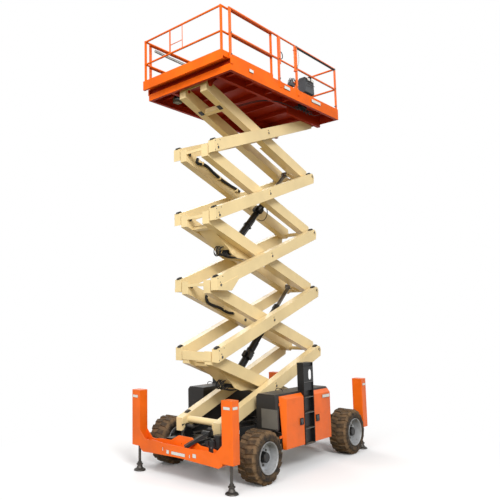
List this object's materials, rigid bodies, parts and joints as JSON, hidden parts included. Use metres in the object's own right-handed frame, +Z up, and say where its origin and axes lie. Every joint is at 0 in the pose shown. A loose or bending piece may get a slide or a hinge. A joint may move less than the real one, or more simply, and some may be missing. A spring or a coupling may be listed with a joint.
{
  "type": "scissor lift",
  "caption": "Self-propelled rough-ground scissor lift: raised link stack under a railed platform with a sliding extension, on a four-wheel chassis with levelling jacks.",
  "frame": {"origin": "centre of the footprint on the ground, under the middle of the machine's box", "axes": "+X to the machine's left, -Y to the front (steered end and extension), +Z up"},
  "size_m": [2.393, 4.38, 7.9255],
  "materials": {
    "black_paint": "semi-gloss",
    "bright_steel": "polished",
    "cream_paint": "semi-gloss",
    "dark_grey_paint": "matt",
    "grey_plastic": "matt",
    "hose_rubber": "matt",
    "orange_paint": "semi-gloss",
    "rim_silver": "semi-gloss",
    "rubber": "matt"
  },
  "bodies": {
    "chassis": {"main_frame": "black_paint", "front_axle": "black_paint", "rear_axle": "black_paint", "front_levelling_beam": "orange_paint", "rear_levelling_beam": "orange_paint", "left_side_box": "dark_grey_paint", "right_side_box": "dark_grey_paint", "ladders": "black_paint", "engine_block": "black_paint"},
    "left_front_door": {"left_front_door": "orange_paint"},
    "left_rear_door": {"left_rear_door": "orange_paint"},
    "right_front_door": {"right_front_door": "orange_paint"},
    "right_rear_door": {"right_rear_door": "orange_paint"},
    "front_left_knuckle": {"front_left_knuckle": "black_paint"},
    "front_right_knuckle": {"front_right_knuckle": "black_paint"},
    "front_left_wheel": {"front_left_tyre": "rubber", "front_left_rim": "rim_silver"},
    "front_left_jack": {"front_left_jack": "bright_steel"},
    "front_right_wheel": {"front_right_tyre": "rubber", "front_right_rim": "rim_silver"},
    "front_right_jack": {"front_right_jack": "bright_steel"},
    "rear_left_wheel": {"rear_left_tyre": "rubber", "rear_left_rim": "rim_silver"},
    "rear_left_jack": {"rear_left_jack": "bright_steel"},
    "rear_right_wheel": {"rear_right_tyre": "rubber", "rear_right_rim": "rim_silver"},
    "rear_right_jack": {"rear_right_jack": "bright_steel"},
    "outer_link_1": {"outer_link_1": "cream_paint"},
    "inner_link_1": {"inner_link_1": "cream_paint", "lower_rollers": "black_paint"},
    "outer_link_2": {"outer_link_2": "cream_paint"},
    "inner_link_2": {"inner_link_2": "cream_paint", "inner_link_2_hose": "hose_rubber"},
    "outer_link_3": {"outer_link_3": "cream_paint"},
    "inner_link_3": {"inner_link_3": "cream_paint"},
    "outer_link_4": {"outer_link_4": "cream_paint"},
    "inner_link_4": {"inner_link_4": "cream_paint", "inner_link_4_hose": "hose_rubber"},
    "outer_link_5": {"outer_link_5": "cream_paint", "upper_rollers": "black_paint"},
    "inner_link_5": {"inner_link_5": "cream_paint"},
    "lower_lift_barrel": {"lower_lift_barrel": "black_paint"},
    "lower_lift_rod": {"lower_lift_rod": "bright_steel"},
    "upper_lift_barrel": {"upper_lift_barrel": "black_paint"},
    "upper_lift_rod": {"upper_lift_rod": "bright_steel"},
    "platform": {"main_deck": "orange_paint", "left_front_rail": "orange_paint", "left_rear_rail": "orange_paint", "right_rail": "orange_paint", "rear_rail": "orange_paint", "control_box": "grey_plastic"},
    "entry_gate": {"entry_gate": "orange_paint"},
    "extension_deck": {"extension_deck": "orange_paint"}
  },
  "joints": [
    {"name": "platform_lift", "type": "hinge", "parent": "chassis", "child": "outer_link_1", "pos_m": [0, -1.61, 0.783], "axis": [1, 0, 0], "range_deg": [-15.82, 26.68]},
    {"name": "inner_link_1_pivot", "type": "hinge", "parent": "outer_link_1", "child": "inner_link_1", "pos_m": [0, -0.06831, 1.38485], "axis": [1, 0, 0], "range_deg": [-53.37, 31.67]},
    {"name": "outer_link_2_pivot", "type": "hinge", "parent": "inner_link_1", "child": "outer_link_2", "pos_m": [0, -1.61, 1.98671], "axis": [1, 0, 0], "range_deg": [-31.67, 53.37]},
    {"name": "inner_link_2_pivot", "type": "hinge", "parent": "outer_link_1", "child": "inner_link_2", "pos_m": [0, 1.47337, 1.98671], "axis": [1, 0, 0], "range_deg": [-53.37, 31.67]},
    {"name": "outer_link_3_pivot", "type": "hinge", "parent": "inner_link_2", "child": "outer_link_3", "pos_m": [0, -1.61, 3.19041], "axis": [1, 0, 0], "range_deg": [-31.67, 53.37]},
    {"name": "inner_link_3_pivot", "type": "hinge", "parent": "outer_link_2", "child": "inner_link_3", "pos_m": [0, 1.47337, 3.19041], "axis": [1, 0, 0], "range_deg": [-53.37, 31.67]},
    {"name": "outer_link_4_pivot", "type": "hinge", "parent": "inner_link_3", "child": "outer_link_4", "pos_m": [0, -1.61, 4.39412], "axis": [1, 0, 0], "range_deg": [-31.67, 53.37]},
    {"name": "inner_link_4_pivot", "type": "hinge", "parent": "outer_link_3", "child": "inner_link_4", "pos_m": [0, 1.47337, 4.39412], "axis": [1, 0, 0], "range_deg": [-53.37, 31.67]},
    {"name": "outer_link_5_pivot", "type": "hinge", "parent": "inner_link_4", "child": "outer_link_5", "pos_m": [0, -1.61, 5.59783], "axis": [1, 0, 0], "range_deg": [-31.67, 53.37]},
    {"name": "inner_link_5_pivot", "type": "hinge", "parent": "outer_link_4", "child": "inner_link_5", "pos_m": [0, 1.47337, 5.59783], "axis": [1, 0, 0], "range_deg": [-53.37, 31.67]},
    {"name": "platform_level", "type": "hinge", "parent": "inner_link_5", "child": "platform", "pos_m": [0, -1.61, 6.80154], "axis": [1, 0, 0], "range_deg": [-15.85, 26.7]},
    {"name": "lower_barrel_pivot", "type": "hinge", "parent": "inner_link_1", "child": "lower_lift_barrel", "pos_m": [0, -0.8, 1.445], "axis": [1, 0, 0], "range_deg": [-34.84, 58.7]},
    {"name": "lower_rod_slide", "type": "slide", "parent": "lower_lift_barrel", "child": "lower_lift_rod", "axis": [0, 0.7418, 0.6706], "range_m": [-0.5529, 0.93163]},
    {"name": "upper_barrel_pivot", "type": "hinge", "parent": "inner_link_3", "child": "upper_lift_barrel", "pos_m": [0, -0.8, 3.85241], "axis": [1, 0, 0], "range_deg": [-34.84, 58.7]},
    {"name": "upper_rod_slide", "type": "slide", "parent": "upper_lift_barrel", "child": "upper_lift_rod", "axis": [0, 0.7418, 0.6706], "range_m": [-0.5529, 0.93163]},
    {"name": "front_left_steer", "type": "hinge", "parent": "chassis", "child": "front_left_knuckle", "pos_m": [0.84, -1.322, 0.42], "axis": [0, 0, 1], "range_deg": [-25, 25]},
    {"name": "front_right_steer", "type": "hinge", "parent": "chassis", "child": "front_right_knuckle", "pos_m": [-0.84, -1.322, 0.42], "axis": [0, 0, 1], "range_deg": [-25.01, 25.01]},
    {"name": "front_left_wheel_spin", "type": "hinge", "parent": "front_left_knuckle", "child": "front_left_wheel", "pos_m": [1, -1.322, 0.42], "axis": [1, 0, 0], "continuous": true},
    {"name": "front_right_wheel_spin", "type": "hinge", "parent": "front_right_knuckle", "child": "front_right_wheel", "pos_m": [-1, -1.322, 0.42], "axis": [1, 0, 0], "continuous": true},
    {"name": "rear_left_wheel_spin", "type": "hinge", "parent": "chassis", "child": "rear_left_wheel", "pos_m": [1, 1.537, 0.42], "axis": [1, 0, 0], "continuous": true},
    {"name": "rear_right_wheel_spin", "type": "hinge", "parent": "chassis", "child": "rear_right_wheel", "pos_m": [-1, 1.537, 0.42], "axis": [1, 0, 0], "continuous": true},
    {"name": "front_left_jack_slide", "type": "slide", "parent": "chassis", "child": "front_left_jack", "axis": [0, 0, 1], "range_m": [-0.2, 0.27]},
    {"name": "front_right_jack_slide", "type": "slide", "parent": "chassis", "child": "front_right_jack", "axis": [0, 0, 1], "range_m": [-0.2, 0.27]},
    {"name": "rear_left_jack_slide", "type": "slide", "parent": "chassis", "child": "rear_left_jack", "axis": [0, 0, 1], "range_m": [-0.2, 0.27]},
    {"name": "rear_right_jack_slide", "type": "slide", "parent": "chassis", "child": "rear_right_jack", "axis": [0, 0, 1], "range_m": [-0.2, 0.27]},
    {"name": "left_front_door_hinge", "type": "hinge", "parent": "chassis", "child": "left_front_door", "pos_m": [1.0077, -0.748, 0.86], "axis": [0, 0, 1], "range_deg": [-100, 0]},
    {"name": "left_rear_door_hinge", "type": "hinge", "parent": "chassis", "child": "left_rear_door", "pos_m": [1.0077, 0.868, 0.86], "axis": [0, 0, 1], "range_deg": [0, 100]},
    {"name": "right_front_door_hinge", "type": "hinge", "parent": "chassis", "child": "right_front_door", "pos_m": [-1.0077, -0.748, 0.86], "axis": [0, 0, 1], "range_deg": [0, 100]},
    {"name": "right_rear_door_hinge", "type": "hinge", "parent": "chassis", "child": "right_rear_door", "pos_m": [-1.0077, 0.868, 0.86], "axis": [0, 0, 1], "range_deg": [-100, 0]},
    {"name": "gate_hinge", "type": "hinge", "parent": "platform", "child": "entry_gate", "pos_m": [0.9835, 0.18, 7.45], "axis": [0, 0, 1], "range_deg": [-90, 0]},
    {"name": "extension_slide", "type": "slide", "parent": "platform", "child": "extension_deck", "axis": [0, -1, 0], "range_m": [0, 1.2]}
  ],
  "couplings": [
    {"joint": "inner_link_1_pivot", "follows": "platform_lift", "ratio": -2},
    {"joint": "outer_link_2_pivot", "follows": "platform_lift", "ratio": 2},
    {"joint": "inner_link_2_pivot", "follows": "platform_lift", "ratio": -2},
    {"joint": "outer_link_3_pivot", "follows": "platform_lift", "ratio": 2},
    {"joint": "inner_link_3_pivot", "follows": "platform_lift", "ratio": -2},
    {"joint": "outer_link_4_pivot", "follows": "platform_lift", "ratio": 2},
    {"joint": "inner_link_4_pivot", "follows": "platform_lift", "ratio": -2},
    {"joint": "outer_link_5_pivot", "follows": "platform_lift", "ratio": 2},
    {"joint": "inner_link_5_pivot", "follows": "platform_lift", "ratio": -2},
    {"joint": "platform_level", "follows": "platform_lift", "ratio": 1},
    {"joint": "lower_barrel_pivot", "follows": "platform_lift", "ratio": 2.2},
    {"joint": "lower_rod_slide", "follows": "platform_lift", "m_per_rad": 2},
    {"joint": "upper_barrel_pivot", "follows": "platform_lift", "ratio": 2.2},
    {"joint": "upper_rod_slide", "follows": "platform_lift", "m_per_rad": 2},
    {"joint": "front_right_steer", "follows": "front_left_steer", "ratio": 1}
  ]
}
